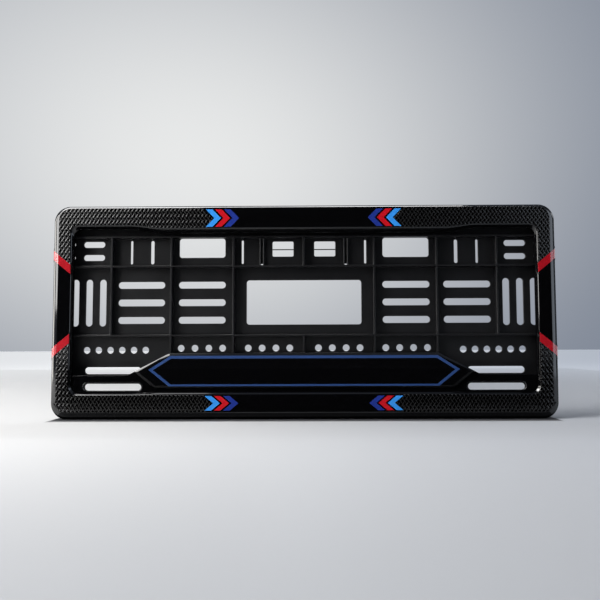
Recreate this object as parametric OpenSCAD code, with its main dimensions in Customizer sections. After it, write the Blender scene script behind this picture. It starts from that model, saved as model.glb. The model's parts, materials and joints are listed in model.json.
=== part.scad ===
// Number plate holder: a slotted tray that is screwed to the car, and a front frame that
// snaps over it and carries a raised label bar. It stands on its lower edge, centred on
// x = 0 and y = 0, with its front towards -Y. Heights are measured from that lower edge.

/* [Holder] */
// Overall width
holder_w = 530; // [516:1:560]
// Overall height
holder_h = 225; // [218:1:240]
// Overall depth, from the front of the rails to the back of the tray
holder_d = 20; // [19:0.5:26]
// Radius of the outer corners
corner_r = 17; // [14:0.5:22]

/* [Front frame] */
// Wall thickness of the frame
frame_wall = 2.2; // [1.8:0.1:2.6]
// Width of the side rails, from the outer edge to the edge of the front face
side_rail_w = 19; // [17:0.5:23]
// Width of the top rail near its ends
top_rail_w = 21.4; // [20:0.2:26]
// Width of the bottom rail
bottom_rail_w = 25.8; // [24:0.2:28]
// Width of the rounded shoulder along the sides
shoulder_w = 6.5; // [4:0.5:8]
// Width of the rounded shoulder along the top
top_shoulder_w = 3; // [2:0.5:6]
// Width of the rounded shoulder along the bottom
bottom_shoulder_w = 8; // [5:0.5:10]
// How far the shoulder falls back from the front face
shoulder_d = 3.5; // [2:0.25:4.5]
// Radius of the window's corners
window_r = 8; // [5:0.5:10]
// Width of the window's bevel along the sides
side_bevel_w = 2; // [1:0.25:3]
// Width of the window's bevel along the top, near its ends
top_bevel_w = 3.5; // [1.5:0.25:4]
// Width of the window's bevel along the bottom, near its ends
bottom_bevel_w = 1.5; // [1:0.25:3]
// Depth of the window's bevel
bevel_d = 3; // [2:0.25:4.5]
// How much deeper the middle of the top rail's face hangs
face_dip = 3; // [0:0.2:4]
// How much deeper the middle of the top bevel hangs
bevel_dip = 4.2; // [1:0.2:6]
// How much higher the middle of the bottom bevel stands
sill_rise = 1.5; // [0:0.25:2.5]
// Distance of each S-curve from the middle of the rail
dip_x = 166; // [150:1:180]
// Length of each S-curve
dip_run = 36; // [16:1:40]

/* [Label bar and lip] */
// Height of the lip's upper edge
lip_top_z = 45.6; // [44:0.2:46.2]
// How far the lip lies behind the front of the rails
lip_recess = 4.5; // [3.5:0.25:5]
// Thickness of the lip
lip_t = 2; // [1.6:0.1:2.4]
// Radius where the lip runs up into the bar
lip_fillet_r = 20; // [8:1:30]
// Height of the bar's upper edge
bar_top_z = 69; // [64:0.5:70]
// Height of the bar's lower edge
bar_bottom_z = 31.9; // [31:0.1:34]
// Half the length of the bar's upper edge
bar_top_x = 141; // [120:1:150]
// Half the length of the bar's lower edge
bar_bottom_x = 156; // [130:1:160]
// Slope of the bar's upper ends
bar_upper_slope = 27.5; // [24:0.5:36]
// Slope of the bar's lower ends
bar_lower_slope = 38.6; // [32:0.2:50]
// How far the bar lies behind the front of the rails
bar_recess = 1; // [0:0.25:1.5]
// Width of the bevel around the bar
bar_bevel_w = 3; // [1:0.25:4]
// Depth of the bevel around the bar
bar_bevel_d = 2.2; // [1:0.1:2.5]
// Length of the openings in the lip
lip_slot_l = 62.7; // [60:0.5:66]
// Height of the openings in the lip
lip_slot_h = 9.4; // [8:0.2:11]
// How far each lip opening sits inboard of the tray's slot behind it
lip_slot_shift = 3.4; // [0:0.2:5]
// How far each lip opening sits above the tray's slot behind it
lip_slot_lift = 1.3; // [0:0.1:2]

/* [Tray] */
// Thickness of the tray's floor
floor_t = 2.5; // [2:0.1:3.5]
// Depth of the tray's rim that shows behind the frame
rim_d = 4; // [3.2:0.2:6]
// Thickness of the wall inside the frame
wall_t = 1.8; // [1.4:0.1:2.4]
// Height of that wall above the floor
wall_h = 10.5; // [9:0.5:11]
// Clearance between that wall and the frame
fit_gap = 0.3; // [0.2:0.05:0.4]
// Thickness of the ribs
rib_t = 2; // [1.2:0.1:2.6]
// Height of the ribs above the floor
rib_h = 7.1; // [6:0.1:7.5]
// Room for the plate between the ribs and the frame
plate_gap = 1.6; // [1:0.1:2]
// Distance of the first upright rib from the middle
rib_x1 = 75.1; // [72:0.5:78]
// Distance of the third upright rib from the holder's side
end_cell_w = 59.5; // [57:0.5:62]
// How far the second upright rib sits outboard of the middle between the other two
rib_shift = 1.3; // [0:0.1:2]
// Distance of the top rib from the holder's upper edge
top_rib_drop = 31.8; // [31:0.2:36]
// Height of the top row of cells
top_row_h = 31.8; // [31:0.2:35]
// Height of the rib under the middle row
low_rib_z = 87.6; // [84:0.2:90]

/* [Screw slots] */
// Width of the long slots
slot_w = 7.3; // [6:0.1:8]
// Distance of the slots in the inner cells from the ribs beside them
inner_slot_gap = 8; // [6:0.1:12]
// Distance of the slots in the outer cells from the ribs beside them
outer_slot_gap = 6.8; // [6:0.1:12]
// Spacing of the slots that lie across the middle row
slot_pitch = 18.9; // [16:0.1:20]
// How far those slots sit outboard of the middle of their cell
slot_shift = 1.1; // [0:0.1:2]
// How far the middle row's openings sit below the middle of the row
row_drop = 1.6; // [0:0.1:3]
// Length of the upright slots in the end cells
end_slot_l = 50.4; // [44:0.2:54]
// Distance of the first upright slot from the holder's side
end_slot_edge = 19.2; // [18:0.2:21]
// Spacing of the upright slots
end_slot_pitch = 14.7; // [13:0.1:15.5]
// Length of the two low slots on each side
low_slot_l = 60.4; // [50:0.2:62]
// Distance of their outer ends from the holder's side
low_slot_edge = 30.6; // [28:0.2:32]
// Height of the lower one
low_slot_z = 32.8; // [32:0.1:34]
// Spacing of the two
low_slot_pitch = 17.6; // [17:0.1:18]
// Width of the short slots in the top corners
short_slot_w = 6.5; // [5:0.1:7]
// Length of the short slots
short_slot_l = 23; // [18:0.2:26]
// Length of the shorter slots beside them, under the side rail
stub_slot_l = 10; // [8:0.2:14]
// Distance of the short slots' middle from the holder's side
short_slot_edge = 38.5; // [37:0.2:41]
// Distance of the shorter slots' middle from the holder's side
stub_slot_edge = 13.2; // [13:0.2:15]
// Spacing of the short slots
short_slot_pitch = 14.2; // [12:0.1:15]
// Diameter of the round holes
hole_d = 7.2; // [5:0.1:8]
// Spacing of the round holes in the inner cells
hole_pitch = 14.8; // [12:0.1:15]
// Least distance of those holes from the ribs beside them
hole_gap = 5; // [4.5:0.1:6]
// Height of those holes
hole_z = 74; // [73:0.1:78]
// Spacing of the six round holes in each end cell
end_hole_pitch = 12.6; // [11:0.1:12.8]
// Distance of the outermost round hole from the holder's side
end_hole_edge = 32.3; // [31:0.1:36]
// Height of the round holes in the end cells
end_hole_z = 72.1; // [70:0.1:76]

/* [Windows and key slots] */
// Width of the large window
window_w = 123; // [110:1:128]
// Height of the large window
window_h = 47.6; // [40:0.2:52]
// Radius of the windows' corners
pane_r = 3; // [1:0.25:4]
// Distance of the oblong windows in the top row from the ribs beside them
oblong_gap = 8.5; // [6:0.1:12]
// Height of the oblong windows
oblong_h = 20.8; // [16:0.2:22]
// Width of the small windows in the top row
small_w = 22.6; // [18:0.2:24]
// Height of the small windows
small_h = 16.4; // [12:0.2:18]
// Thickness of the bar across each small window
bar_t = 1.1; // [0.8:0.1:2]
// Width of the key slots in the middle cell
inner_key_w = 2.2; // [1.6:0.1:3]
// Width of the first key slot in each outer cell
first_key_w = 3.7; // [3:0.1:4.5]
// Width of the second key slot in each outer cell
second_key_w = 2.6; // [2:0.1:3.4]
// Length of the key slots
key_l = 25.5; // [20:0.5:27]
// Distance of the middle cell's key slots from the middle
inner_key_x = 66; // [62:0.5:68]
// Spacing of the two key slots in each outer cell
key_pitch = 22.5; // [18:0.5:28]
// Distance of the paired thin ribs from the middle
pair_x = 45; // [42:0.5:48]
// Spacing of the two thin ribs of a pair
pair_gap = 3.6; // [3:0.1:5]
// Thickness of the thin ribs
thin_rib_t = 1; // [0.8:0.1:1.4]
// Height of the thin ribs above the floor
thin_rib_h = 3.5; // [2:0.1:5]
// Distance of the thin ribs from the key slots below them
thin_rib_gap = 0.8; // [0.4:0.1:1.2]

/* [Snap lugs] */
// Length of each snap lug
lug_l = 14; // [8:1:20]
// How far each lug reaches into the frame's wall
lug_bite = 0.8; // [0.5:0.05:1]
// Depth of the lug from front to back
lug_d = 4.4; // [3.6:0.1:5]
// Distance of the lug's front from the parting line
lug_drop = 7.4; // [7:0.1:8.5]
// Distance of the outer lugs on the long walls from the middle
far_lug_x = 190; // [160:1:210]
// Distance of the inner lugs on the long walls from the middle
near_lug_x = 65; // [40:1:90]
// Distance of the lugs on the short walls from their middle
side_lug_z = 45; // [30:1:60]

/* [Printed marks] */
// Thickness of the printed marks, set flush into the frame
ink_t = 0.3; // [0.2:0.05:0.4]
// Height of the outline's upper edge
outline_top_z = 66.1; // [62:0.1:66.2]
// Height of the outline's lower edge
outline_bottom_z = 34.5; // [34.4:0.1:38]
// Half the length of the outline's upper edge
outline_top_x = 139.5; // [120:0.5:141]
// Half the length of the outline's lower edge
outline_bottom_x = 141; // [120:0.5:144]
// Slope of the outline's upper ends
outline_upper_slope = 32.3; // [30:0.1:40]
// Slope of the outline's lower ends
outline_lower_slope = 38.6; // [34:0.1:46]
// Width of the outline's upper line
outline_top_t = 2.9; // [2:0.1:4]
// Width of the outline's lower line
outline_bottom_t = 1.9; // [1.2:0.1:3]
// Width of the outline's slanted lines
outline_end_t = 2.8; // [2:0.1:4]
// Height of the middle between the upper and the lower side stripes
stripe_mid_z = 121; // [110:1:130]
// Distance of the stripes' outer ends from that middle
stripe_outer = 51.9; // [48:0.1:56]
// Distance of the stripes' inner ends from that middle
stripe_inner = 36.5; // [34:0.1:44]
// Width of the side stripes, measured upright
stripe_t = 9.8; // [6:0.1:12]
// Distance of the innermost arrow mark from the middle of the rail
arrow_x = 68; // [50:1:80]
// Spacing of the arrow marks along the rail
arrow_pitch = 9.6; // [8:0.1:12]
// Width of each arrow mark
arrow_t = 7; // [4:0.1:7.8]
// How far each arrow mark's point leads its ends
arrow_lead = 9; // [5:0.5:12]
// Bare margin above and below the arrow marks
arrow_edge = 1.4; // [0.2:0.1:2]

/* [Hidden] */
$fn = 48;

// Smoothness of the lofted corners, shoulders and S-curves
corner_steps = 16;
shoulder_steps = 6;
curve_steps = 10;
// Overlap that cuts use to pass a surface
cut = 1;

half_w = holder_w / 2;
front_y = -holder_d / 2;
back_y = holder_d / 2;
parting_y = back_y - rim_d;
floor_y = back_y - floor_t;
rib_y = floor_y - rib_h;
inner_wall_y = rib_y - plate_gap;
lug_y = parting_y - lug_drop;
bevel_y = front_y + bevel_d;
lip_y = front_y + lip_recess;
bar_y = front_y + bar_recess;

face_x = half_w - side_rail_w;
opening_x = face_x - side_bevel_w;
face_top_z = holder_h - top_rail_w;
opening_top_z = face_top_z - top_bevel_w;
opening_bottom_z = bottom_rail_w + bottom_bevel_w;

wall_inset = frame_wall + fit_gap;
top_rib_z = holder_h - top_rib_drop;
mid_rib_z = top_rib_z - top_row_h;
top_row_z = (top_rib_z + mid_rib_z) / 2;
small_window_z = top_row_z + 2 * row_drop;
mid_row_z = (mid_rib_z + low_rib_z) / 2 - row_drop;
rib_x3 = half_w - end_cell_w;
rib_x2 = (rib_x1 + rib_x3) / 2 + rib_shift;
inner_cell_w = rib_x2 - rib_x1;
outer_cell_w = rib_x3 - rib_x2;
inner_cell_x = (rib_x1 + rib_x2) / 2 + slot_shift;
outer_cell_x = (rib_x2 + rib_x3) / 2 + slot_shift;
first_key_x = outer_cell_x - key_pitch / 2;
second_key_x = outer_cell_x + key_pitch / 2;

// Points of a quarter circle about a centre, from the angle a0 on
function quarter(centre, r, a0) = [
    for (i = [0:corner_steps])
        let (a = a0 + 90 * i / corner_steps)
        centre + r * [cos(a), sin(a)]
];

// Points of an S-curve between two levels, from x0 to x1
function s_curve(x0, z0, x1, z1) = [
    for (i = [0:curve_steps])
        let (t = i / curve_steps)
        [x0 + (x1 - x0) * t, z0 + (z1 - z0) * (1 - cos(180 * t)) / 2]
];

// Depth of the shoulder at the share t of the way from the side to the front face
function shoulder_y(t) = front_y + shoulder_d * pow(1 - t, 1.5);

// Outline of the frame at that share of the shoulder, drawn in by inset
function outer_loop(t, inset) =
    let (
        x = half_w - inset - shoulder_w * t,
        hi = holder_h - inset - top_shoulder_w * t,
        lo = inset + bottom_shoulder_w * t,
        r_hi = corner_r - inset - (shoulder_w + top_shoulder_w) / 2 * t,
        r_lo = corner_r - inset - (shoulder_w + bottom_shoulder_w) / 2 * t
    )
    concat(
        quarter([x - r_hi, hi - r_hi], r_hi, 0),
        quarter([r_hi - x, hi - r_hi], r_hi, 90),
        quarter([r_lo - x, lo + r_lo], r_lo, 180),
        quarter([x - r_lo, lo + r_lo], r_lo, 270)
    );

// Outline of the frame's window, with its middle stretches dipped and raised
function window_loop(x, lo, hi, dip, rise, outset) =
    let (
        side = x + outset,
        top = hi + outset,
        bottom = lo - outset,
        r = window_r + outset,
        near = dip_x - dip_run / 2,
        far = dip_x + dip_run / 2
    )
    concat(
        quarter([side - r, top - r], r, 0),
        s_curve(far, top, near, top - dip),
        s_curve(-near, top - dip, -far, top),
        quarter([r - side, top - r], r, 90),
        quarter([r - side, bottom + r], r, 180),
        s_curve(-far, bottom, -near, bottom + rise),
        s_curve(near, bottom + rise, far, bottom),
        quarter([side - r, bottom + r], r, 270)
    );

function face_window(outset) =
    window_loop(face_x, bottom_rail_w, face_top_z, face_dip, 0, outset);

function rear_window(outset) =
    window_loop(opening_x, opening_bottom_z, opening_top_z, bevel_dip, sill_rise, outset);

// A six-sided outline with level upper and lower edges and a point at each end
function six_sided(top_x, top_z, upper_slope, bottom_x, bottom_z, lower_slope) =
    let (
        up = tan(upper_slope),
        down = tan(lower_slope),
        tip_x = (top_z - bottom_z + top_x * up + bottom_x * down) / (up + down),
        tip_z = top_z - (tip_x - top_x) * up
    )
    [[top_x, top_z], [-top_x, top_z], [-tip_x, tip_z],
     [-bottom_x, bottom_z], [bottom_x, bottom_z], [tip_x, tip_z]];

// The bar's outline, drawn in by inset on every side
function bar_loop(inset) = six_sided(
    bar_top_x - inset * tan(bar_upper_slope / 2), bar_top_z - inset, bar_upper_slope,
    bar_bottom_x - inset * tan(bar_lower_slope / 2), bar_bottom_z + inset, bar_lower_slope);

// Skins a row of [depth, outline] levels, front to back, into one solid
module loft(levels) {
    n = len(levels[0][1]);
    last = len(levels) - 1;
    heights = [for (p = levels[0][1]) p[1]];
    middle_z = (max(heights) + min(heights)) / 2;
    rings = [for (level = levels) for (p = level[1]) [p[0], level[0], p[1]]];
    middle = [for (k = [0, last]) [0, levels[k][0], middle_z]];
    sides = [
        for (k = [0:last - 1])
            for (i = [0:n - 1])
                let (a = k * n + i, b = k * n + (i + 1) % n)
                each [[a, b, b + n], [a, b + n, a + n]]
    ];
    front = [for (i = [0:n - 1]) [len(rings), (i + 1) % n, i]];
    back = [for (i = [0:n - 1]) [len(rings) + 1, last * n + i, last * n + (i + 1) % n]];
    polyhedron(points = concat(rings, middle), faces = concat(front, sides, back));
}

// Stands a flat shape upright between two depths
module slab(near_y, far_y) {
    translate([0, far_y, 0]) rotate([90, 0, 0]) linear_extrude(far_y - near_y) children();
}

module both_sides() {
    children();
    mirror([1, 0, 0]) children();
}

// A rectangle with round corners, centred on a place
module rounded_rect(centre, w, h, r) {
    translate(centre) {
        square([w - 2 * r, h], center = true);
        square([w, h - 2 * r], center = true);
        for (x = [-1, 1], z = [-1, 1])
            translate([x * (w / 2 - r), z * (h / 2 - r)]) circle(r);
    }
}

// A slot with round ends, lying along x
module slot(centre, l, w) {
    translate(centre) {
        square([l - w, w], center = true);
        for (x = [-1, 1]) translate([x * (l - w) / 2, 0]) circle(d = w);
    }
}

module upright_slot(centre, l, w) {
    translate(centre) rotate(90) slot([0, 0], l, w);
}

module holder_outline(inset) {
    rounded_rect([0, holder_h / 2], holder_w - 2 * inset, holder_h - 2 * inset, corner_r - inset);
}

// Runs a flat section, drawn as [depth, distance outwards], along each place of a snap lug
module at_lugs(length) {
    both_sides() {
        for (x = [near_lug_x, far_lug_x]) {
            translate([x, 0, holder_h - wall_inset])
                rotate([90, 0, 90]) linear_extrude(length, center = true) children();
            translate([x, 0, wall_inset])
                mirror([0, 0, 1]) rotate([90, 0, 90]) linear_extrude(length, center = true) children();
        }
        for (z = [-side_lug_z, side_lug_z])
            translate([half_w - wall_inset, 0, holder_h / 2 + z])
                mirror([1, 0, 0]) rotate([0, 0, 90]) linear_extrude(length, center = true) children();
    }
}

// As many round holes as a cell takes, in a row about a place
module hole_row(x, cell_w) {
    last = floor((cell_w - hole_d - 2 * hole_gap) / hole_pitch);
    for (i = [0:last]) translate([x + (i - last / 2) * hole_pitch, hole_z]) circle(d = hole_d);
}

module tray_openings() {
    // Slots and holes of the inner cells
    both_sides() {
        for (i = [-1:1]) {
            z = mid_row_z + i * slot_pitch;
            slot([inner_cell_x, z], inner_cell_w - 2 * inner_slot_gap, slot_w);
            slot([outer_cell_x, z], outer_cell_w - 2 * outer_slot_gap, slot_w);
        }
        hole_row(rib_x1 / 2, rib_x1);
        hole_row(inner_cell_x, inner_cell_w);
    }
    // Slots and holes of the end cells
    both_sides() {
        for (i = [0:2])
            upright_slot([half_w - end_slot_edge - i * end_slot_pitch, mid_row_z], end_slot_l, slot_w);
        for (i = [0:5])
            translate([half_w - end_hole_edge - i * end_hole_pitch, end_hole_z]) circle(d = hole_d);
        for (i = [0, 1])
            slot([half_w - low_slot_edge - low_slot_l / 2, low_slot_z + i * low_slot_pitch],
                 low_slot_l, slot_w);
        for (i = [-0.5, 0.5]) {
            z = top_row_z + row_drop + i * short_slot_pitch;
            slot([half_w - short_slot_edge, z], short_slot_l, short_slot_w);
            slot([half_w - stub_slot_edge, z], stub_slot_l, short_slot_w);
        }
    }
    // Windows
    rounded_rect([0, mid_row_z], window_w, window_h, pane_r);
    both_sides() {
        rounded_rect([inner_cell_x, top_rib_z - rib_t / 2 - oblong_h / 2],
                     inner_cell_w - 2 * oblong_gap, oblong_h, pane_r);
        rounded_rect([pair_x / 2, small_window_z], small_w, small_h, pane_r / 2);
    }
    // Key slots
    both_sides() {
        upright_slot([inner_key_x, top_row_z], key_l, inner_key_w);
        upright_slot([first_key_x, top_row_z], key_l, first_key_w);
        upright_slot([second_key_x, top_row_z], key_l, second_key_w);
        translate([pair_x, mid_rib_z + rib_t]) square([pair_gap - thin_rib_t, rib_t], center = true);
    }
}

module ribs() {
    inner_w = holder_w - 2 * (wall_inset + wall_t);
    low_z = wall_inset + wall_t;
    for (z = [low_rib_z, mid_rib_z, top_rib_z])
        translate([0, z]) square([inner_w + wall_t, rib_t], center = true);
    for (z = [[low_z - wall_t / 2, low_rib_z], [mid_rib_z, top_rib_z]])
        translate([-rib_t / 2, z[0]]) square([rib_t, z[1] - z[0]]);
    both_sides() {
        for (x = [rib_x1, rib_x2])
            translate([x - rib_t / 2, low_z - wall_t / 2])
                square([rib_t, top_rib_z - low_z + wall_t / 2]);
        translate([rib_x3 - rib_t / 2, low_rib_z]) square([rib_t, top_rib_z - low_rib_z]);
    }
}

// Thin ribs that stiffen the floor above each key slot and beside the closed pair
module thin_ribs() {
    start_z = top_row_z + key_l / 2 + thin_rib_gap;
    both_sides() {
        for (x = [inner_key_x, first_key_x, second_key_x])
            translate([x - thin_rib_t / 2, start_z]) square([thin_rib_t, top_rib_z - start_z]);
        for (x = [-0.5, 0.5])
            translate([pair_x + x * pair_gap - thin_rib_t / 2, mid_rib_z])
                square([thin_rib_t, top_row_h]);
    }
}

// The bar that crosses each small window, a little below its middle
module window_bars() {
    both_sides()
        translate([pair_x / 2, small_window_z - row_drop + bar_t])
            square([small_w + cut, bar_t], center = true);
}

// A snap lug: a long ramp that the frame slides over, and a short one that holds it
module lug_section() {
    reach = fit_gap + lug_bite;
    polygon([[lug_y, -wall_t / 2], [lug_y, 0], [lug_y + lug_d / 2, reach],
             [lug_y + lug_d - reach / 2, reach], [lug_y + lug_d, 0], [lug_y + lug_d, -wall_t / 2]]);
}

// The pocket inside the frame's wall that a lug snaps into
module lug_pocket_section() {
    translate([lug_y, 0]) square([lug_d + fit_gap, fit_gap + lug_bite + fit_gap / 2]);
}

module base_tray() {
    color("#1c1d20") {
        slab(floor_y, back_y) difference() {
            holder_outline(0);
            tray_openings();
        }
        slab(parting_y, floor_y) difference() {
            holder_outline(0);
            holder_outline(wall_inset + wall_t);
        }
        slab(floor_y - wall_h, parting_y) difference() {
            holder_outline(wall_inset);
            holder_outline(wall_inset + wall_t);
        }
        at_lugs(lug_l) lug_section();
        slab(rib_y, floor_y) ribs();
        slab(floor_y - thin_rib_h, floor_y) thin_ribs();
        slab(back_y - floor_t / 2, back_y) window_bars();
    }
}

// The frame's outer form between its front face and a depth, drawn in by inset
module frame_body(inset, far_y) {
    loft(concat(
        [for (i = [shoulder_steps:-1:0])
            let (t = i / shoulder_steps)
            [shoulder_y(t) + inset, outer_loop(t, inset)]],
        [[far_y, outer_loop(0, inset)]]
    ));
}

// The space of the window, from before the front face to behind the frame
module window_space() {
    loft([
        [front_y - cut, face_window(0)],
        [front_y, face_window(0)],
        [bevel_y, rear_window(0)],
        [parting_y + cut, rear_window(0)]
    ]);
}

// The inner wall around the window, solid right through
module window_wall() {
    loft([
        [front_y + frame_wall / 2, face_window(frame_wall / 2)],
        [bevel_y + frame_wall / 2, rear_window(frame_wall)],
        [inner_wall_y, rear_window(frame_wall)]
    ]);
}

// The lip across the bottom of the window, with its upper edge running up into the bar
module lip_outline() {
    end_x = bar_top_x + (bar_top_z - lip_top_z) / tan(bar_upper_slope);
    centre = [end_x + lip_fillet_r * tan(bar_upper_slope / 2), lip_top_z + lip_fillet_r];
    fillet = [
        for (i = [0:curve_steps])
            let (a = 270 - bar_upper_slope * i / curve_steps)
            centre + lip_fillet_r * [cos(a), sin(a)]
    ];
    half = concat([[half_w, 0], [half_w, lip_top_z]], fillet, [[bar_top_x, bar_top_z]]);
    intersection() {
        polygon(rear_window(frame_wall / 2));
        polygon(concat(half, [for (i = [len(half) - 1:-1:0]) [-half[i][0], half[i][1]]]));
    }
}

module lip_openings() {
    both_sides()
        slot([half_w - low_slot_edge - low_slot_l / 2 - lip_slot_shift, low_slot_z + lip_slot_lift],
             lip_slot_l, lip_slot_h);
}

module label_bar_solid(inset, near_y) {
    loft([
        [near_y, bar_loop(inset + bar_bevel_w)],
        [near_y + bar_bevel_d, bar_loop(inset)],
        [lip_y + lip_t + inset, bar_loop(inset)]
    ]);
}

module outline_ring() {
    top_shift = (outline_end_t - outline_top_t * cos(outline_upper_slope)) / sin(outline_upper_slope);
    bottom_shift = (outline_end_t - outline_bottom_t * cos(outline_lower_slope)) / sin(outline_lower_slope);
    difference() {
        polygon(six_sided(outline_top_x, outline_top_z, outline_upper_slope,
                          outline_bottom_x, outline_bottom_z, outline_lower_slope));
        polygon(six_sided(outline_top_x - top_shift, outline_top_z - outline_top_t, outline_upper_slope,
                          outline_bottom_x - bottom_shift, outline_bottom_z + outline_bottom_t,
                          outline_lower_slope));
    }
}

// The skin of a side rail, cut across: over its shoulder and face to the window's bevel
module side_skin_section() {
    bevel_x = side_bevel_w * ink_t / bevel_d;
    shoulder = [
        for (i = [0:shoulder_steps])
            let (t = i / shoulder_steps)
            [half_w - shoulder_w * t, shoulder_y(t)]
    ];
    inner = [for (i = [shoulder_steps:-1:0]) shoulder[i] + [-ink_t, ink_t]];
    polygon(concat(shoulder, [[face_x, front_y], [face_x - bevel_x, front_y + ink_t]], inner));
}

// The slanted bands that the side stripes follow, two on each side
module stripe_shapes() {
    run = half_w - face_x;
    slope = (stripe_outer - stripe_inner) / run;
    both_sides()
        for (s = [-1, 1])
            polygon([
                for (p = [[-cut, -1], [run + cut, -1], [run + cut, 1], [-cut, 1]])
                    [face_x + p[0], stripe_mid_z + s * (stripe_inner + p[0] * slope) + p[1] * stripe_t / 2]
            ]);
}

// One arrow mark on each half of the top and bottom rails, pointing at the middle
module arrow_shapes(place) {
    x = arrow_x + place * arrow_pitch;
    rails = [
        [face_top_z - face_dip + arrow_edge, holder_h - top_shoulder_w - arrow_edge],
        [bottom_shoulder_w + arrow_edge, bottom_rail_w - arrow_edge]
    ];
    both_sides()
        for (rail = rails)
            polygon([
                [x + arrow_lead, rail[0]], [x, (rail[0] + rail[1]) / 2], [x + arrow_lead, rail[1]],
                [x + arrow_lead + arrow_t, rail[1]], [x + arrow_t, (rail[0] + rail[1]) / 2],
                [x + arrow_lead + arrow_t, rail[0]]
            ]);
}

module arrow_marks(place) {
    slab(front_y, front_y + ink_t) arrow_shapes(place);
}

module label_outline() {
    color("#2f4f96") slab(bar_y, bar_y + ink_t) outline_ring();
}

module side_stripes() {
    color("#c81428") intersection() {
        both_sides() linear_extrude(holder_h) side_skin_section();
        slab(front_y - cut, front_y + shoulder_d + cut) stripe_shapes();
    }
}

module arrows_light_blue() {
    color("#2f86d6") arrow_marks(2);
}

module arrows_dark_blue() {
    color("#1e2f80") arrow_marks(0);
}

module arrows_red() {
    color("#c81020") arrow_marks(1);
}

module front_frame() {
    color("#0c0c0e") difference() {
        union() {
            difference() {
                frame_body(0, parting_y);
                difference() {
                    frame_body(frame_wall, parting_y + cut);
                    window_wall();
                }
                window_space();
            }
            slab(lip_y, lip_y + lip_t) difference() {
                lip_outline();
                lip_openings();
            }
            label_bar_solid(0, bar_y);
        }
        label_bar_solid(lip_t, bar_y + lip_t);
        at_lugs(lug_l + 2 * fit_gap) lug_pocket_section();
        label_outline();
        side_stripes();
        arrows_light_blue();
        arrows_dark_blue();
        arrows_red();
    }
}

base_tray();
front_frame();
label_outline();
side_stripes();
arrows_light_blue();
arrows_dark_blue();
arrows_red();
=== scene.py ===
"""Finishes a car's number plate holder for its picture: a gloss black front frame with a woven
texture, a matte moulded tray behind it and coloured prints, on a pale studio floor."""

import json
import math

import bmesh
import bpy
from bpy.props import FloatProperty, FloatVectorProperty, PointerProperty
from mathutils import Matrix, Vector
from mathutils.bvhtree import BVHTree

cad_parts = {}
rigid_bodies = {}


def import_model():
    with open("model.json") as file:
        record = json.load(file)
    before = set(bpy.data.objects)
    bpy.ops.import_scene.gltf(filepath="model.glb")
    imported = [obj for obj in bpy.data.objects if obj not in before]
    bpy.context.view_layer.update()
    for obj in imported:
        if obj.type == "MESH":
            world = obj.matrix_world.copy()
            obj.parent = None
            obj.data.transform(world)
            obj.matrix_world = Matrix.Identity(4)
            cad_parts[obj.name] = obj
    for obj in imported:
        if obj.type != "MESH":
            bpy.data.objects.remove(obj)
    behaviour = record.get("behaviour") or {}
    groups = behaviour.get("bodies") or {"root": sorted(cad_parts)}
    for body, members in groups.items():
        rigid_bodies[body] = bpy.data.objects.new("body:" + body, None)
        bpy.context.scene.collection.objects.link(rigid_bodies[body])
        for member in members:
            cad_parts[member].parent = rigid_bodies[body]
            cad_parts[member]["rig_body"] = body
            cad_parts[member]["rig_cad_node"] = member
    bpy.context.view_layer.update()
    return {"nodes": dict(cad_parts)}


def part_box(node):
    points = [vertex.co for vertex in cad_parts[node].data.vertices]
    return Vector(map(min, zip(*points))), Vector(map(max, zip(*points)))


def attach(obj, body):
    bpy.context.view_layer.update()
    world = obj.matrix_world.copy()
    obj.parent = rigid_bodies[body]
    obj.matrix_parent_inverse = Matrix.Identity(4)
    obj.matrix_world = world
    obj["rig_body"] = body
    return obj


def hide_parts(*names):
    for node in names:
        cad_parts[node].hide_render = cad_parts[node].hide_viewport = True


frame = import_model()

bl_info = {
    "name": "Number Plate Holder",
    "version": (1, 0, 0),
    "blender": (4, 5, 0),
    "location": "View3D > Sidebar > Plate Holder",
    "description": "Finishes a number plate holder and sets its studio",
    "category": "Object",
}

PRINTS = ("label_outline", "side_stripes", "arrows_light_blue", "arrows_dark_blue", "arrows_red")

MM = 1000  # Millimetres in a metre

WELD_DISTANCE = 0.000002  # Points closer than this are one
FLAT_ANGLE = math.radians(0.5)  # Faces that meet at less are one
SHARP_ANGLE = math.radians(30)  # Edges that stand out by more are rounded
SMOOTH_ANGLE = math.radians(40)  # Edges that bend by less are shaded smooth

PRINT_GAP = 0.0001  # Gap between a round and a print
SHORTEST_SPLIT = 5  # Shortest edge that is split beside a print, over the round and that gap
SHARP_STUB = 2.2  # Length that stays sharp there, over the same

# The zones of the front frame, in metres from the sides of its box
WINDOW_SIDE, WINDOW_BOTTOM, WINDOW_TOP = 0.012, 0.02, 0.015
FACE_DEPTH = 0.0002
SHOULDER_WIDTH, SHOULDER_DEPTH = 0.0181, 0.004
WALL_DEPTH = 0.001

# Where the weave lies on the front frame, in millimetres
WEAVE_FADE = (0.12, 0.06)  # Depths behind the face between which it comes in
LONG_RAIL_MIDDLE = 96.0  # A long rail's centre line, from the frame's middle
LONG_RAIL_HALF = 10.0  # Half a long rail's width
SIDE_RAIL_INNER = 246.0  # A side rail's inner edge, from the frame's middle

# The woven strands
WANDER_SIZE = 9.0  # Millimetres over which they wander
WANDER = 0.3  # How far they wander, as a share of a strand
DIP = 0.25  # How far one dips under another, as a share of its relief
FIBRE_WAVES = 60.0  # Angle that the fibres' waves turn through across a strand
FIBRE_RELIEF = 0.04  # Relief of the fibres, as a share of the strand's
CROWN_HEIGHTS = (0.3, 0.85)  # Heights between which a strand's crown comes in
GAP_SHADE = 0.02  # Painted shade in the gaps: their brightness, as a share of the crowns'
GAP_ROUGHNESS = 0.1  # Low, so that the gaps mirror the black cards
CROWN_ROUGHNESS = 0.2  # How much rougher the crowns are

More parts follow.
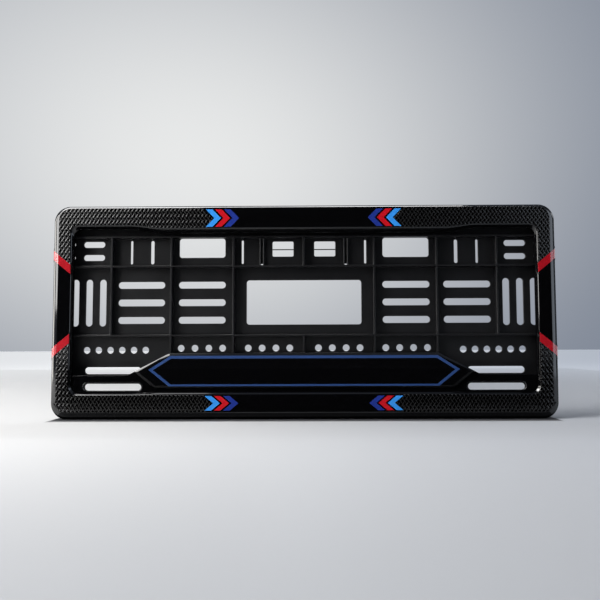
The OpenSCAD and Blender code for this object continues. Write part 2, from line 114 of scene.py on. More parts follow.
# The moulded grain
LUMP_SIZE = 1.6  # Size of its lumps, in grains
GRAIN_SHARE = 0.6  # Share of the relief that its pits have, and its lumps
SHEEN_SIZE, SHEEN_DETAIL = 40.0, 3.0  # Size and detail of the changes in sheen, in grains
GLOSS_GRAIN, PRINT_GRAIN = 2.5, 1.2  # Grain of the gloss plastic and the prints, in millimetres
GLOSS_RIPPLE = 0.002  # Relief of the gloss plastic, as a share of the strands'
PRINT_RELIEF = 0.000004  # Relief of the prints, in metres

# The wall's glow: the direction of its middle, its width over its height and its reach
GLOW_X, GLOW_Z = -0.18, 0.26
GLOW_FLATNESS, GLOW_REACH = 1.45, 0.72

# The floor, in metres from the middle
FLOOR_RADIUS, FLOOR_RING = 27, 21
FLOOR_DROP = 0.0001  # How far it lies under the holder
FAR_REACH = (0.15, 2.2)  # Distances between which it glows in the wall's colour
FAR_BEARING = (-0.25, 0.45)  # Bearings between which that glow turns from painted light to painted shade
SIDE_REACH = (-0.3, 0.3)  # Where the near floor turns to painted shade, from left to right
NEAR_REACH = (-0.15, -0.75)  # Where it darkens towards the camera, in painted shade
NEAR_SHADE_SHARE = 0.58  # How dark the painted shade gets there, as a share of the shade
FOOT_FRONT, FOOT_BACK = (-0.036, -0.018), (0.03, 0.012)  # Where the painted contact shadow comes in
FOOT_HALF = 0.262  # Half the painted contact shadow's length
# Colour of the painted contact shadow
PAINTED_FOOT_SHADOW = (0.05, 0.05, 0.055)

# The lowest and the highest corner of each black card
CARDS = {
    "front_card": ((-1.15, -1.25, 0), (1.6, -1.25, 1.7)),
    "floor_card": ((-0.45, -0.155, 0.0005), (0.45, -0.045, 0.0005)),
    "low_card": ((-0.3, -0.06, 0), (0.3, -0.06, 0.05)),
    # The foot card is a dark sheet that stands in for the contact shadow under the holder, seen
    # only in reflections
    "foot_card": ((-0.27, -0.0095, 0.0005), (0.27, 0.03, 0.0005)),
    "right_card": ((0.9, 0.16, 0), (0.9, 1.8, 1.1)),
    "right_back_card": ((0.34, 1.8, 0), (0.9, 1.8, 1.1)),
    "left_card": ((-1.6, 0.26, 0), (-1.6, 1.8, 1.1)),
    "left_back_card": ((-1.6, 1.8, 0), (-0.34, 1.8, 1.1)),
}

# Each lamp's place, the point it faces, its size, its tint and where its light shows
WHITE = (1, 1, 1)
WARM, WARMER = (1, 0.99, 0.975), (1, 0.97, 0.92)
COOL, COOLER = (0.9, 0.94, 1), (0.8, 0.88, 1)
LAMPS = {
    "left_softbox": ((-1.2, -0.62, 0.98), (0, 0, 0.11), (0.95, 1.85), WARM, "everywhere"),
    "left_strip": ((-1.3, -0.045, 0.38), (0, -0.045, 0.38), (0.15, 0.76), WARMER, "reflections"),
    "top_strip": ((-0.19, 0.21, 1.4), (-0.19, 0, 0.2), (1.2, 0.31), WHITE, "reflections"),
    "corner_softbox": ((-1.05, -0.2, 1.35), (-0.25, 0, 0.2), (0.5, 0.7), WHITE, "reflections"),
    "top_softbox": ((-0.68, 0.05, 1.3), (-0.3, 0, 0.11), (0.85, 0.8), WHITE, "everywhere"),
    "right_softbox": ((1.25, -0.6, 0.5), (0, -0.1, 0.5), (0.9, 1.0), COOLER, "everywhere"),
    "right_strip": ((1.3, 0.1, 0.38), (0, 0.1, 0.38), (0.2, 0.76), COOL, "reflections"),
    "fill_softbox": ((1.4, 0.5, 1.3), (0.4, 0, 0), (1, 1), COOL, "surfaces"),
}

# The camera's place in metres, its turns in degrees and its sideways shift
CAMERA_PLACE = (0.018, -0.7415, 0.0733)
CAMERA_TURN, CAMERA_TIP, CAMERA_ROLL = 0.57, 3.965, -0.19
CAMERA_SHIFT = -0.023
SENSOR_WIDTH = 36


def colour(name, description, default):
    return FloatVectorProperty(
        name=name, description=description, default=default, size=3, min=0, max=1, subtype="COLOR"
    )


def length(name, description, default):
    return FloatProperty(
        name=name, description=description, default=default, min=0, precision=5, unit="LENGTH"
    )


def share(name, description, default):
    return FloatProperty(
        name=name, description=description, default=default, min=0, max=1, subtype="FACTOR"
    )


def power(name, description, default):
    return FloatProperty(
        name=name, description=description, default=default, min=0, unit="POWER"
    )


class FrameLook(bpy.types.PropertyGroup):
    edge_radius: length("Edge radius", "Size of the round on each moulded edge", 0.0003)
    window_radius: length(
        "Window radius", "Size of the round where the face meets the window", 0.0012
    )
    shoulder_radius: length(
        "Shoulder radius", "Size of the round where the shoulder meets the sides", 0.0013
    )
    gloss_colour: colour("Gloss", "Colour of the smooth plastic", (0.0013, 0.0013, 0.0016))
    gloss_roughness: share("Gloss roughness", "Roughness of the smooth plastic", 0.07)
    strand_colour: colour("Strands", "Colour of the woven strands", (0.007, 0.007, 0.0072))
    weave_width: length(
        "Weave width", "Distance sideways from one woven strand to the next", 0.0041
    )
    weave_rise: length("Weave rise", "Distance upwards from one woven strand to the next", 0.0062)
    strand_fullness: share("Strand fullness", "Share of the distance that a strand fills", 0.8)
    strand_relief: length("Strand relief", "How far a strand stands out", 0.00027)
    weave_start: length(
        "Weave start", "Distance of the weave from the middle, at a rail's centre line", 0.0942
    )
    weave_point: length(
        "Weave point", "How much further out the weave starts at a rail's edges", 0.009
    )
    plain_half: length(
        "Plain half", "Half the plain stretch of a side rail, at its inner edge", 0.0414
    )
    plain_middle: length("Plain middle", "Height of the middle of that stretch", 0.121)
    plain_slope: FloatProperty(
        name="Plain slope", description="Slope of its slanted ends", default=0.8105
    )


class TrayLook(bpy.types.PropertyGroup):
    edge_radius: length("Edge radius", "Size of the round on each moulded edge", 0.0004)
    plastic_colour: colour("Plastic", "Colour of the matte plastic", (0.0055, 0.0055, 0.0062))
    plastic_roughness: share("Roughness", "Roughness of the matte plastic", 0.34)
    grain_size: length("Grain size", "Size of the moulded grain", 0.0006)
    grain_relief: length("Grain relief", "Height of the moulded grain", 0.00004)


class PrintLook(bpy.types.PropertyGroup):
    outline_colour: colour("Outline", "Colour of the label bar's outline", (0.019, 0.048, 0.15))
    stripe_colour: colour("Stripes", "Colour of the side stripes", (0.32, 0.004, 0.010))
    light_blue: colour("Light blue", "Colour of the light blue arrows", (0.03, 0.24, 0.68))
    dark_blue: colour("Dark blue", "Colour of the dark blue arrows", (0.012, 0.028, 0.21))
    red: colour("Red", "Colour of the red arrows", (0.46, 0.005, 0.012))
    print_roughness: share("Roughness", "Roughness of the print", 0.22)


class StudioLook(bpy.types.PropertyGroup):
    # The floor's lit and shaded colours are painted light and painted shade
    floor_colour: colour("Floor", "Colour of the floor on the lit side", (0.61, 0.61, 0.61))
    floor_shade: colour(
        "Floor shade", "Colour of the floor on the shaded side", (0.43, 0.445, 0.475)
    )
    wall_glow: colour("Wall glow", "Colour of the lit part of the wall", (0.80, 0.81, 0.81))
    wall_shade: colour("Wall shade", "Colour of the wall's shaded side", (0.22, 0.25, 0.31))
    # The far floor's glow, painted lit on the left and shaded on the right
    far_lit: colour("Far floor", "Colour of the far floor on the lit side", (0.60, 0.61, 0.62))
    far_shade: colour(
        "Far floor shade", "Colour of the far floor on the shaded side", (0.34, 0.37, 0.42)
    )
    wall_light: share("Wall light", "Share of the wall's colour that lights the object", 0.25)
    left_softbox: power("Left softbox", "Power of the large softbox on the left", 60)
    left_strip: power("Left strip", "Power of the strip beside the left edge", 3.4)
    corner_softbox: power("Corner softbox", "Power of the softbox over the left corner", 11)
    top_softbox: power("Top softbox", "Power of the softbox overhead", 6)
    top_strip: power("Top strip", "Power of the strip overhead", 22)
    right_softbox: power("Right softbox", "Power of the softbox on the right", 6)
    right_strip: power("Right strip", "Power of the strip beside the right edge", 1.5)
    fill_softbox: power("Fill softbox", "Power of the softbox that fills the shadow", 7)
    lens: FloatProperty(
        name="Lens", description="Focal length of the camera", default=42, min=1, unit="CAMERA"
    )


# Node helpers

def calc(tree, operation, *values):
    """A Math node, where each value is a number or a socket."""
    node = tree.nodes.new("ShaderNodeMath")
    node.operation = operation
    for socket, value in zip(node.inputs, values):
        if isinstance(value, (int, float)):
            socket.default_value = value
        else:
            tree.links.new(value, socket)
    return node.outputs[0]


def mixed_colour(tree, factor, first, second):
    """A colour between two, where each is a colour or a socket."""
    node = tree.nodes.new("ShaderNodeMix")
    node.data_type = "RGBA"
    tree.links.new(factor, node.inputs["Factor"])
    for socket, value in ((node.inputs[6], first), (node.inputs[7], second)):
        if isinstance(value, bpy.types.NodeSocket):
            tree.links.new(value, socket)
        else:
            socket.default_value = (*value, 1)
    return node.outputs[2]


def ramped(tree, value, low, high, smooth=False):
    """A share that goes from 0 to 1 as the value goes from low to high."""
    node = tree.nodes.new("ShaderNodeMapRange")
    node.interpolation_type = "SMOOTHSTEP" if smooth else "LINEAR"
    tree.links.new(value, node.inputs["Value"])
    node.inputs["From Min"].default_value = low
    node.inputs["From Max"].default_value = high
    return node.outputs["Result"]


def split_up(tree, vector):
    """The x, y and z of a vector."""
    node = tree.nodes.new("ShaderNodeSeparateXYZ")
    tree.links.new(vector, node.inputs[0])
    return node.outputs[0], node.outputs[1], node.outputs[2]


def coordinates(tree, kind="Object"):
    return tree.nodes.new("ShaderNodeTexCoord").outputs[kind]


def millimetres(tree):
    """The piece's own coordinates in millimetres."""
    scale = tree.nodes.new("ShaderNodeVectorMath")
    scale.operation = "SCALE"
    scale.inputs["Scale"].default_value = MM
    tree.links.new(coordinates(tree), scale.inputs[0])
    return scale.outputs[0]


def noise(tree, vector, size, detail=2.0):
    """Noise whose lumps are about that size, in the vector's own unit."""
    node = tree.nodes.new("ShaderNodeTexNoise")
    node.inputs["Scale"].default_value = 1 / size
    node.inputs["Detail"].default_value = detail
    tree.links.new(vector, node.inputs["Vector"])
    return node.outputs["Fac"]


def new_group(name, inputs, outputs):
    """A shader node group with number sockets, and a vector socket named Place."""
    tree = bpy.data.node_groups.new(name, "ShaderNodeTree")
    tree.interface.new_socket("Place", in_out="INPUT", socket_type="NodeSocketVector")
    for title, default in inputs.items():
        socket = tree.interface.new_socket(title, in_out="INPUT", socket_type="NodeSocketFloat")
        socket.default_value = default
    for title in outputs:
        tree.interface.new_socket(title, in_out="OUTPUT", socket_type="NodeSocketFloat")
    return tree, tree.nodes.new("NodeGroupInput"), tree.nodes.new("NodeGroupOutput")


def weave_group():
    """Rounded strands woven one over one on the slant, with a gap between their crossings that the
    frame's material paints dark as shade.
    """
    if "Woven Strands" in bpy.data.node_groups:
        return bpy.data.node_groups["Woven Strands"]
    tree, entry, outlet = new_group(
        "Woven Strands", {"Width": 4.1, "Rise": 6.2, "Fullness": 0.8}, ("Height",)
    )
    place = entry.outputs["Place"]
    across, _, up = split_up(tree, place)
    x = calc(tree, "DIVIDE", across, entry.outputs["Width"])
    z = calc(tree, "DIVIDE", up, entry.outputs["Rise"])

    # The strands run along u and v, and each cell has one of the two on top
    wander = calc(tree, "MULTIPLY_ADD", noise(tree, place, WANDER_SIZE), WANDER, -WANDER / 2)
    u = calc(tree, "ADD", calc(tree, "ADD", x, z), wander)
    v = calc(tree, "SUBTRACT", calc(tree, "SUBTRACT", x, z), wander)
    in_u = calc(tree, "SUBTRACT", calc(tree, "FRACT", u), 0.5)
    in_v = calc(tree, "SUBTRACT", calc(tree, "FRACT", v), 0.5)
    cell = calc(tree, "ADD", calc(tree, "FLOOR", u), calc(tree, "FLOOR", v))
    over = calc(tree, "MULTIPLY_ADD", calc(tree, "PINGPONG", cell, 1.0), 2.0, -1.0)
    half = calc(tree, "MULTIPLY", entry.outputs["Fullness"], 0.5)
    strands = []
    for sideways, along, dip in ((in_v, in_u, DIP), (in_u, in_v, -DIP)):
        edge = calc(tree, "DIVIDE", calc(tree, "ABSOLUTE", sideways), half)
        slope = calc(tree, "MULTIPLY", calc(tree, "MINIMUM", edge, 1.0), math.pi)
        dome = calc(tree, "MULTIPLY_ADD", calc(tree, "COSINE", slope), 0.5, 0.5)
        swell = calc(tree, "COSINE", calc(tree, "MULTIPLY", along, math.pi))
        rise = calc(tree, "MULTIPLY_ADD", calc(tree, "MULTIPLY", swell, over), dip, 1 - DIP)
        strands.append(calc(tree, "MULTIPLY", dome, rise))
    top = calc(tree, "MAXIMUM", *strands)

    # Fibres run along the strand on top
    first = calc(tree, "GREATER_THAN", *strands)
    second = calc(tree, "SUBTRACT", 1.0, first)
    first_side = calc(tree, "MULTIPLY", first, in_v)
    second_side = calc(tree, "MULTIPLY", second, in_u)
    side = calc(tree, "ADD", first_side, second_side)
    wave = calc(tree, "SINE", calc(tree, "MULTIPLY", side, FIBRE_WAVES))
    fibre = calc(tree, "MULTIPLY", calc(tree, "MULTIPLY_ADD", wave, 0.5, 0.5), top)
    height = calc(tree, "MULTIPLY_ADD", fibre, FIBRE_RELIEF, top)
    tree.links.new(height, outlet.inputs["Height"])
    return tree


def grain_group():
    """Fine grain of moulded plastic, with slow changes in its sheen."""
    if "Moulded Grain" in bpy.data.node_groups:
        return bpy.data.node_groups["Moulded Grain"]
    tree, entry, outlet = new_group("Moulded Grain", {"Size": 0.6}, ("Height", "Sheen"))
    scale = tree.nodes.new("ShaderNodeVectorMath")
    scale.operation = "SCALE"
    tree.links.new(entry.outputs["Place"], scale.inputs[0])
    tree.links.new(calc(tree, "DIVIDE", 1.0, entry.outputs["Size"]), scale.inputs["Scale"])
    grains = scale.outputs[0]
    pits = tree.nodes.new("ShaderNodeTexVoronoi")
    pits.feature = "SMOOTH_F1"
    pits.inputs["Scale"].default_value = 1.0
    tree.links.new(grains, pits.inputs["Vector"])
    lumps = calc(tree, "MULTIPLY", noise(tree, grains, LUMP_SIZE), GRAIN_SHARE)
    height = calc(tree, "MULTIPLY_ADD", pits.outputs["Distance"], GRAIN_SHARE, lumps)
    tree.links.new(height, outlet.inputs["Height"])
    tree.links.new(noise(tree, grains, SHEEN_SIZE, SHEEN_DETAIL), outlet.inputs["Sheen"])
    return tree


def place_group(tree, group, place, **values):
    node = tree.nodes.new("ShaderNodeGroup")
    node.node_tree = group
    tree.links.new(place, node.inputs["Place"])
    for title, value in values.items():
        node.inputs[title].default_value = value
    return node


def uneven_colour(tree, sheen, base, darkest, lightest):
    """A colour that the sheen takes from darkest to lightest times its base."""
    dark = [c * darkest for c in base]
    light = [min(1, c * lightest) for c in base]
    return mixed_colour(tree, sheen, dark, light)


def uneven_roughness(tree, sheen, middle, spread):
    """A roughness that the sheen moves by half the spread to either side."""
    return calc(tree, "MULTIPLY_ADD", sheen, spread, middle - spread / 2)


def bump(tree, shader, height, relief):
    """Raises the surface by the height's share of the relief, in metres."""
    node = tree.nodes.new("ShaderNodeBump")
    node.inputs["Strength"].default_value = 1
    node.inputs["Distance"].default_value = relief
    tree.links.new(height, node.inputs["Height"])
    tree.links.new(node.outputs["Normal"], shader.inputs["Normal"])


def new_material(name):
    material = bpy.data.materials.new(name)
    material.use_nodes = True
    tree = material.node_tree
    return material, tree, tree.nodes["Principled BSDF"]


# Materials

def woven_zone(tree, place, look):
    """1 where the frame's flat face is woven, outside the printed marks, and 0 elsewhere."""
    x, y, z = split_up(tree, place)
    side = calc(tree, "ABSOLUTE", x)
    low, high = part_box("front_frame")
    face = low.y * MM
    on_face = ramped(tree, y, *(face + depth for depth in WEAVE_FADE))

    # The weave starts along a chevron on the long rails
    middle = (low.z + high.z) / 2 * MM
    height = calc(tree, "ABSOLUTE", calc(tree, "SUBTRACT", z, middle))
    off_centre = calc(tree, "ABSOLUTE", calc(tree, "SUBTRACT", height, LONG_RAIL_MIDDLE))
    point = calc(tree, "MULTIPLY", off_centre, look.weave_point * MM / LONG_RAIL_HALF)
    start = calc(tree, "ADD", point, look.weave_start * MM)
    beyond_arrows = calc(tree, "GREATER_THAN", side, start)

    # and outside the slanted stripes on the short ones
    outwards = calc(tree, "SUBTRACT", side, SIDE_RAIL_INNER)
    slant = calc(tree, "MULTIPLY", outwards, look.plain_slope)
    away = calc(tree, "ABSOLUTE", calc(tree, "SUBTRACT", z, look.plain_middle * MM))
    past_slant = calc(tree, "SUBTRACT", away, slant)
    beyond_stripes = calc(tree, "GREATER_THAN", past_slant, look.plain_half * MM)
    beyond_prints = calc(tree, "MULTIPLY", beyond_arrows, beyond_stripes)
    return calc(tree, "MULTIPLY", on_face, beyond_prints)


def frame_material(look):
    """Gloss black plastic, with the weave on its flat face."""
    material, tree, shader = new_material("Gloss Black Weave")
    place = millimetres(tree)
    woven = woven_zone(tree, place, look)
    weave = place_group(
        tree,
        weave_group(),
        place,
        Width=look.weave_width * MM,
        Rise=look.weave_rise * MM,
        Fullness=look.strand_fullness,
    )
    height = weave.outputs["Height"]
    sheen = place_group(tree, grain_group(), place, Size=GLOSS_GRAIN).outputs["Sheen"]
    # Painted shade on the weave: the gaps between the strands are painted darker than the crowns
    crown = ramped(tree, height, *CROWN_HEIGHTS, smooth=True)
    painted_gap_shade = [c * GAP_SHADE for c in look.strand_colour]
    strand = mixed_colour(tree, crown, painted_gap_shade, look.strand_colour)
    tone = mixed_colour(tree, woven, look.gloss_colour, strand)
    tree.links.new(tone, shader.inputs["Base Color"])
    strand_roughness = calc(tree, "MULTIPLY_ADD", crown, CROWN_ROUGHNESS, GAP_ROUGHNESS)
    polish = uneven_roughness(tree, sheen, look.gloss_roughness, 0.05)
    rougher = calc(tree, "SUBTRACT", strand_roughness, polish)
    rough = calc(tree, "ADD", polish, calc(tree, "MULTIPLY", rougher, woven))
    tree.links.new(rough, shader.inputs["Roughness"])
    ripple = calc(tree, "MULTIPLY", sheen, GLOSS_RIPPLE)
    bump(tree, shader, calc(tree, "MULTIPLY_ADD", height, woven, ripple), look.strand_relief)
    shader.inputs["IOR"].default_value = 1.5
    return material


def tray_material(look):
    """Matte black moulded plastic with a fine grain."""
    material, tree, shader = new_material("Matte Black Plastic")
    grain = place_group(tree, grain_group(), millimetres(tree), Size=look.grain_size * MM)
    sheen = grain.outputs["Sheen"]
    tone = uneven_colour(tree, sheen, look.plastic_colour, 0.8, 1.25)
    tree.links.new(tone, shader.inputs["Base Color"])
    rough = uneven_roughness(tree, sheen, look.plastic_roughness, 0.12)
    tree.links.new(rough, shader.inputs["Roughness"])
    bump(tree, shader, grain.outputs["Height"], look.grain_relief)
    shader.inputs["Specular IOR Level"].default_value = 0.4
    return material


def print_material(name, ink, roughness):
    """Glossy ink with a faintly uneven surface."""
    material, tree, shader = new_material(name)
    grain = place_group(tree, grain_group(), millimetres(tree), Size=PRINT_GRAIN)
    sheen = grain.outputs["Sheen"]
    tree.links.new(uneven_colour(tree, sheen, ink, 0.94, 1.06), shader.inputs["Base Color"])
    tree.links.new(uneven_roughness(tree, sheen, roughness, 0.08), shader.inputs["Roughness"])
    bump(tree, shader, grain.outputs["Height"], PRINT_RELIEF)
    shader.inputs["Coat Weight"].default_value = 0.4
    shader.inputs["Coat Roughness"].default_value = 0.08
    return material


def floor_material(look):
    """A pale floor with painted shade, darker and cooler on the right and darker towards the
    camera, that glows in the wall's colour far away.
    """
    material, tree, shader = new_material("Pale Floor")
    shader.inputs["Roughness"].default_value = 0.45
    shader.inputs["Specular IOR Level"].default_value = 0.3
    place = coordinates(tree)
    x, y, _ = split_up(tree, place)
    reach = tree.nodes.new("ShaderNodeVectorMath")
    reach.operation = "LENGTH"
    tree.links.new(place, reach.inputs[0])
    distance = reach.outputs["Value"]

    # Painted shade: the floor darkens and cools to the right and darkens towards the camera, as if
    # lit from the left
    to_right = ramped(tree, x, *SIDE_REACH, smooth=True)
    plain = mixed_colour(tree, to_right, look.floor_colour, look.floor_shade)
    near = ramped(tree, y, *NEAR_REACH, smooth=True)
    shaded = mixed_colour(tree, near, plain, [c * NEAR_SHADE_SHARE for c in look.floor_shade])

    # Painted contact shadow along the holder's foot, in the floor's own colour
    front = ramped(tree, y, *FOOT_FRONT, smooth=True)
    back = ramped(tree, y, *FOOT_BACK, smooth=True)
    beside = calc(tree, "LESS_THAN", calc(tree, "ABSOLUTE", x), FOOT_HALF)
    # 1 where the painted contact shadow lies on the floor
    under = calc(tree, "MULTIPLY", calc(tree, "MULTIPLY", front, back), beside)
    tree.links.new(mixed_colour(tree, under, shaded, PAINTED_FOOT_SHADOW), shader.inputs["Base Color"])

    # The far floor glows in the wall's colour for the camera alone, on the bearing from the
    # middle, with painted light on the left and painted shade on the right
    bearing = calc(tree, "DIVIDE", x, calc(tree, "MAXIMUM", distance, 0.1))
    to_shade = ramped(tree, bearing, *FAR_BEARING, smooth=True)
    far_colour = mixed_colour(tree, to_shade, look.far_lit, look.far_shade)
    tree.links.new(far_colour, shader.inputs["Emission Color"])
    far = ramped(tree, distance, *FAR_REACH, smooth=True)
    seen = tree.nodes.new("ShaderNodeLightPath").outputs["Is Camera Ray"]
    tree.links.new(calc(tree, "MULTIPLY", far, seen), shader.inputs["Emission Strength"])
    return material


def card_material():
    material, _, shader = new_material("Black Card")
    shader.inputs["Base Color"].default_value = (0.002, 0.002, 0.002, 1)
    shader.inputs["Roughness"].default_value = 1
    shader.inputs["Specular IOR Level"].default_value = 0
    return material


# Pieces

def stands_out(edge):
    """Whether an edge stands out enough to be rounded."""
    between_two = len(edge.link_faces) == 2
    return between_two and edge.is_convex and edge.calc_face_angle(0) > SHARP_ANGLE


def middle_of(edge):
    return (edge.verts[0].co + edge.verts[1].co) / 2


def near_any(trees, point, margin):
    return any(tree.find_nearest(point, margin)[0] is not None for tree in trees)


def round_edges(piece, radius, segments, kept_clear, chosen):
    """Rounds the outer edges whose middle the chosen test accepts, but stops short of prints."""
    margin = radius + PRINT_GAP
    bpy.ops.object.mode_set(mode="EDIT")
    bpy.ops.mesh.select_mode(type="EDGE")
    bpy.ops.mesh.select_all(action="DESELECT")
    mesh = bmesh.from_edit_mesh(piece.data)
    wanted = [edge for edge in mesh.edges if stands_out(edge) and chosen(middle_of(edge))]
    for edge in list(wanted):
        for vert in tuple(edge.verts):
            long_enough = edge.calc_length() > SHORTEST_SPLIT * margin
            if long_enough and near_any(kept_clear, vert.co, margin):
                part = SHARP_STUB * margin / edge.calc_length()
                stub, _ = bmesh.utils.edge_split(edge, vert, part)
                wanted.append(stub)
    for edge in wanted:
        points = (middle_of(edge), edge.verts[0].co, edge.verts[1].co)
        edge.select_set(not any(near_any(kept_clear, point, margin) for point in points))
    bmesh.update_edit_mesh(piece.data)
    bpy.ops.mesh.bevel(
        offset=radius,
        segments=segments,
        profile=0.5,
        clamp_overlap=False,
        loop_slide=False,
        miter_outer="SHARP",
    )
    bpy.ops.object.mode_set(mode="OBJECT")


def surface_tree(node):
    mesh = frame["nodes"][node].data
    return BVHTree.FromPolygons([v.co for v in mesh.vertices], [p.vertices for p in mesh.polygons])


def merged_copy(node, name):
    """A merged copy of a CAD node, with its flat faces whole."""
    bpy.ops.object.select_all(action="DESELECT")
    source = frame["nodes"][node]
    source.select_set(True)
    bpy.context.view_layer.objects.active = source
    bpy.ops.object.duplicate()
    piece = bpy.context.view_layer.objects.active
    piece.name = piece.data.name = name
    piece.parent = None
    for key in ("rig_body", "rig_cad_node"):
        if key in piece:
            del piece[key]
    bpy.ops.object.mode_set(mode="EDIT")
    bpy.ops.mesh.select_all(action="SELECT")
    bpy.ops.mesh.remove_doubles(threshold=WELD_DISTANCE)
    bpy.ops.mesh.customdata_custom_splitnormals_clear()
    bpy.ops.mesh.dissolve_limited(angle_limit=FLAT_ANGLE, delimit={"NORMAL"})
    bpy.ops.object.mode_set(mode="OBJECT")
    return piece


def shade_and_seat(piece, node):
    """Smooths the rounds, keeps flat faces flat and puts the piece in the node's place."""
    bpy.ops.object.shade_smooth_by_angle(angle=SMOOTH_ANGLE)
    weighted = piece.modifiers.new("Flat faces stay flat", "WEIGHTED_NORMAL")
    weighted.mode = "FACE_AREA"
    weighted.weight = 100
    weighted.keep_sharp = True
    bpy.ops.object.modifier_apply(modifier=weighted.name)
    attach(piece, "root")
    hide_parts(node)


def finish_with(piece, material):
    piece.data.materials.clear()
    piece.data.materials.append(material)


class HOLDER_OT_front_frame(bpy.types.Operator):
    """Rounds the front frame's edges and gives it its gloss and weave"""
    bl_idname = "holder.front_frame"
    bl_label = "Front Frame"

    def execute(self, context):
        look = context.scene.holder_frame
        prints = [surface_tree(node) for node in PRINTS]
        piece = merged_copy("front_frame", "front_frame_moulding")
        low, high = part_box("front_frame")

        def at_window(point):
            within = abs(point.x) < high.x - WINDOW_SIDE
            between = low.z + WINDOW_BOTTOM < point.z < high.z - WINDOW_TOP
            return within and between and point.y < low.y + FACE_DEPTH

        def at_shoulder(point):
            at_side = abs(point.x) > high.x - SHOULDER_WIDTH
            at_end = point.z < low.z + SHOULDER_WIDTH or point.z > high.z - SHOULDER_WIDTH
            in_front = point.y < low.y + SHOULDER_DEPTH
            return (at_side or at_end) and in_front and not at_window(point)

        def at_wall(point):
            return point.y > low.y + WALL_DEPTH and not at_shoulder(point)

        round_edges(piece, look.window_radius, 4, prints, at_window)
        round_edges(piece, look.shoulder_radius, 4, prints, at_shoulder)
        round_edges(piece, look.edge_radius, 3, prints, at_wall)
        shade_and_seat(piece, "front_frame")
        finish_with(piece, frame_material(look))
        return {"FINISHED"}


class HOLDER_OT_base_tray(bpy.types.Operator):
    """Rounds the tray's edges and gives it its matte grain"""
    bl_idname = "holder.base_tray"
    bl_label = "Base Tray"

    def execute(self, context):
        look = context.scene.holder_tray
        piece = merged_copy("base_tray", "base_tray_moulding")
        round_edges(piece, look.edge_radius, 3, [], lambda point: True)
        shade_and_seat(piece, "base_tray")
        finish_with(piece, tray_material(look))
        return {"FINISHED"}


class HOLDER_OT_prints(bpy.types.Operator):
    """Gives the outline, the side stripes and the arrows their inks"""
    bl_idname = "holder.prints"
    bl_label = "Printed Marks"

    def execute(self, context):
        look = context.scene.holder_prints
        inks = {
            "label_outline": look.outline_colour,
            "side_stripes": look.stripe_colour,
            "arrows_light_blue": look.light_blue,
            "arrows_dark_blue": look.dark_blue,
            "arrows_red": look.red,
        }
        for node, ink in inks.items():
            title = node.replace("_", " ").title() + " Ink"
            material = print_material(title, tuple(ink), look.print_roughness)
            # The stripes run over the rounded shoulder, so a smoothly shaded copy stands for them
            if node == "side_stripes":
                piece = merged_copy(node, "side_stripe_ink")
                shade_and_seat(piece, node)
                finish_with(piece, material)
            else:
                finish_with(frame["nodes"][node], material)
        return {"FINISHED"}


# Studio

def softbox(name, place, target, size, tint, shows_in, watts):
    """A rectangular lamp that the camera doesn't see."""
    bpy.ops.object.light_add(type="AREA", location=place)
    lamp = bpy.context.object
    lamp.name = name
    lamp.data.shape = "RECTANGLE"
    lamp.data.size, lamp.data.size_y = size
    lamp.data.energy = watts
    lamp.data.color = tint
    lamp.visible_camera = False
    lamp.visible_diffuse = shows_in != "reflections"
    lamp.visible_glossy = shows_in != "surfaces"
    towards = Vector(target) - lamp.location
    lamp.rotation_euler = towards.to_track_quat("-Z", "Y").to_euler()


def studio_world(look):
    """A wall that glows left of the middle and falls off to a cool shade on the right."""
    world = bpy.context.scene.world or bpy.data.worlds.new("Studio")
    bpy.context.scene.world = world
    world.use_nodes = True
    tree = world.node_tree
    x, _, z = split_up(tree, coordinates(tree, "Generated"))
    sideways = calc(tree, "SUBTRACT", x, GLOW_X)
    upwards = calc(tree, "MULTIPLY", calc(tree, "SUBTRACT", z, GLOW_Z), GLOW_FLATNESS)
    squares = [calc(tree, "POWER", value, 2.0) for value in (sideways, upwards)]
    distance = calc(tree, "SQRT", calc(tree, "ADD", *squares))
    shade = ramped(tree, distance, 0.0, GLOW_REACH, smooth=True)
    background = tree.nodes["Background"]
    tint = mixed_colour(tree, shade, look.wall_glow, look.wall_shade)
    tree.links.new(tint, background.inputs["Color"])

    # The camera, gloss and glass see the wall in full, and it lights the rest more weakly
    ray = tree.nodes.new("ShaderNodeLightPath").outputs
    seen = calc(tree, "MAXIMUM", ray["Is Camera Ray"], ray["Is Glossy Ray"])
    seen = calc(tree, "MAXIMUM", seen, ray["Is Transmission Ray"])
    strength = calc(tree, "MULTIPLY_ADD", seen, 1 - look.wall_light, look.wall_light)
    tree.links.new(strength, background.inputs["Strength"])


def studio_floor(look):
    """A wide round floor just under the holder."""
    bpy.ops.mesh.primitive_circle_add(
        vertices=96, radius=FLOOR_RADIUS, fill_type="NGON", location=(0, 0, -FLOOR_DROP)
    )
    floor = bpy.context.object
    floor.name = "studio_floor"
    bpy.ops.object.mode_set(mode="EDIT")
    bpy.ops.mesh.inset(thickness=FLOOR_RING)
    bpy.ops.object.mode_set(mode="OBJECT")
    bpy.ops.object.transform_apply(location=True, rotation=False, scale=False)
    finish_with(floor, floor_material(look))


def black_card(name, corners, material):
    """A card between two corners, upright or lying, that shows only in reflections."""
    low, high = (Vector(corner) for corner in corners)
    bpy.ops.mesh.primitive_grid_add(x_subdivisions=4, y_subdivisions=4, size=1)
    card = bpy.context.object
    card.name = name
    size = high - low
    card.location = (low + high) / 2
    if size.z > 0:
        quarter = math.radians(90)
        card.rotation_euler = (quarter, 0, 0 if size.x > size.y else quarter)
        card.scale = (max(size.x, size.y), size.z, 1)
    else:
        card.scale = (size.x, size.y, 1)
    bpy.ops.object.transform_apply(location=True, rotation=True, scale=True)
    finish_with(card, material)
    card.visible_camera = card.visible_diffuse = card.visible_shadow = False


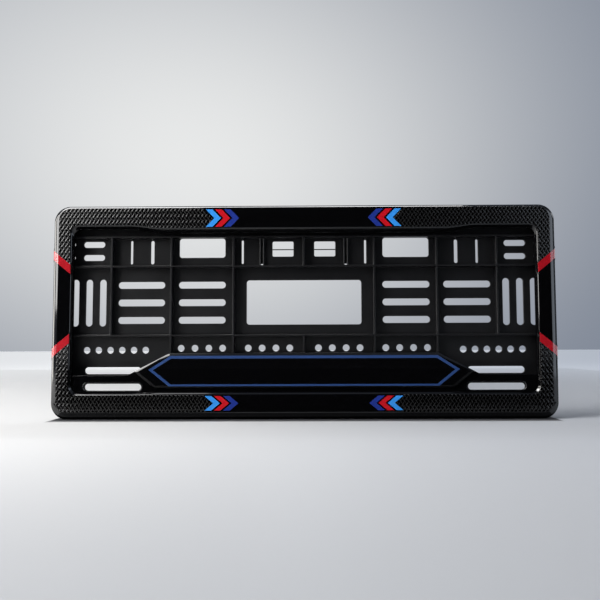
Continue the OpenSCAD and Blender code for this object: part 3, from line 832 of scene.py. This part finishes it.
def studio_camera(look):
    """The photograph's view: a little right of the middle, tipped up and barely turned."""
    bpy.ops.object.camera_add(location=CAMERA_PLACE)
    camera = bpy.context.object
    camera.data.sensor_width = SENSOR_WIDTH
    camera.data.lens = look.lens
    camera.data.clip_start, camera.data.clip_end = 0.01, 100
    camera.data.shift_x = CAMERA_SHIFT
    turned = Matrix.Rotation(math.radians(CAMERA_TURN), 3, "Z")
    tipped = Matrix.Rotation(math.radians(90 + CAMERA_TIP), 3, "X")
    rolled = Matrix.Rotation(math.radians(CAMERA_ROLL), 3, "Z")
    camera.rotation_euler = (turned @ tipped @ rolled).to_euler()
    bpy.context.scene.camera = camera


class HOLDER_OT_studio(bpy.types.Operator):
    """Sets the wall, the floor, the cards, the lamps and the camera"""
    bl_idname = "holder.studio"
    bl_label = "Studio"

    def execute(self, context):
        look = context.scene.holder_studio
        context.scene.view_settings.view_transform = "Standard"
        studio_world(look)
        studio_floor(look)
        card_black = card_material()
        for name, corners in CARDS.items():
            black_card(name, corners, card_black)
        for name, settings in LAMPS.items():
            softbox(name, *settings, getattr(look, name))
        studio_camera(look)
        return {"FINISHED"}


class HOLDER_PT_panel(bpy.types.Panel):
    bl_label = "Number Plate Holder"
    bl_idname = "HOLDER_PT_panel"
    bl_space_type = "VIEW_3D"
    bl_region_type = "UI"
    bl_category = "Plate Holder"

    def draw(self, context):
        for operator in OPERATORS:
            self.layout.operator(operator.bl_idname)


LOOKS = {
    "holder_frame": FrameLook,
    "holder_tray": TrayLook,
    "holder_prints": PrintLook,
    "holder_studio": StudioLook,
}
OPERATORS = (HOLDER_OT_base_tray, HOLDER_OT_front_frame, HOLDER_OT_prints, HOLDER_OT_studio)
CLASSES = (*LOOKS.values(), *OPERATORS, HOLDER_PT_panel)


def register():
    for cls in CLASSES:
        bpy.utils.register_class(cls)
    for name, cls in LOOKS.items():
        setattr(bpy.types.Scene, name, PointerProperty(type=cls))


def unregister():
    for name in LOOKS:
        delattr(bpy.types.Scene, name)
    for cls in reversed(CLASSES):
        bpy.utils.unregister_class(cls)


def main():
    register()
    bpy.ops.holder.base_tray()
    bpy.ops.holder.front_frame()
    bpy.ops.holder.prints()
    bpy.ops.holder.studio()


if __name__ == "__main__":
    main()
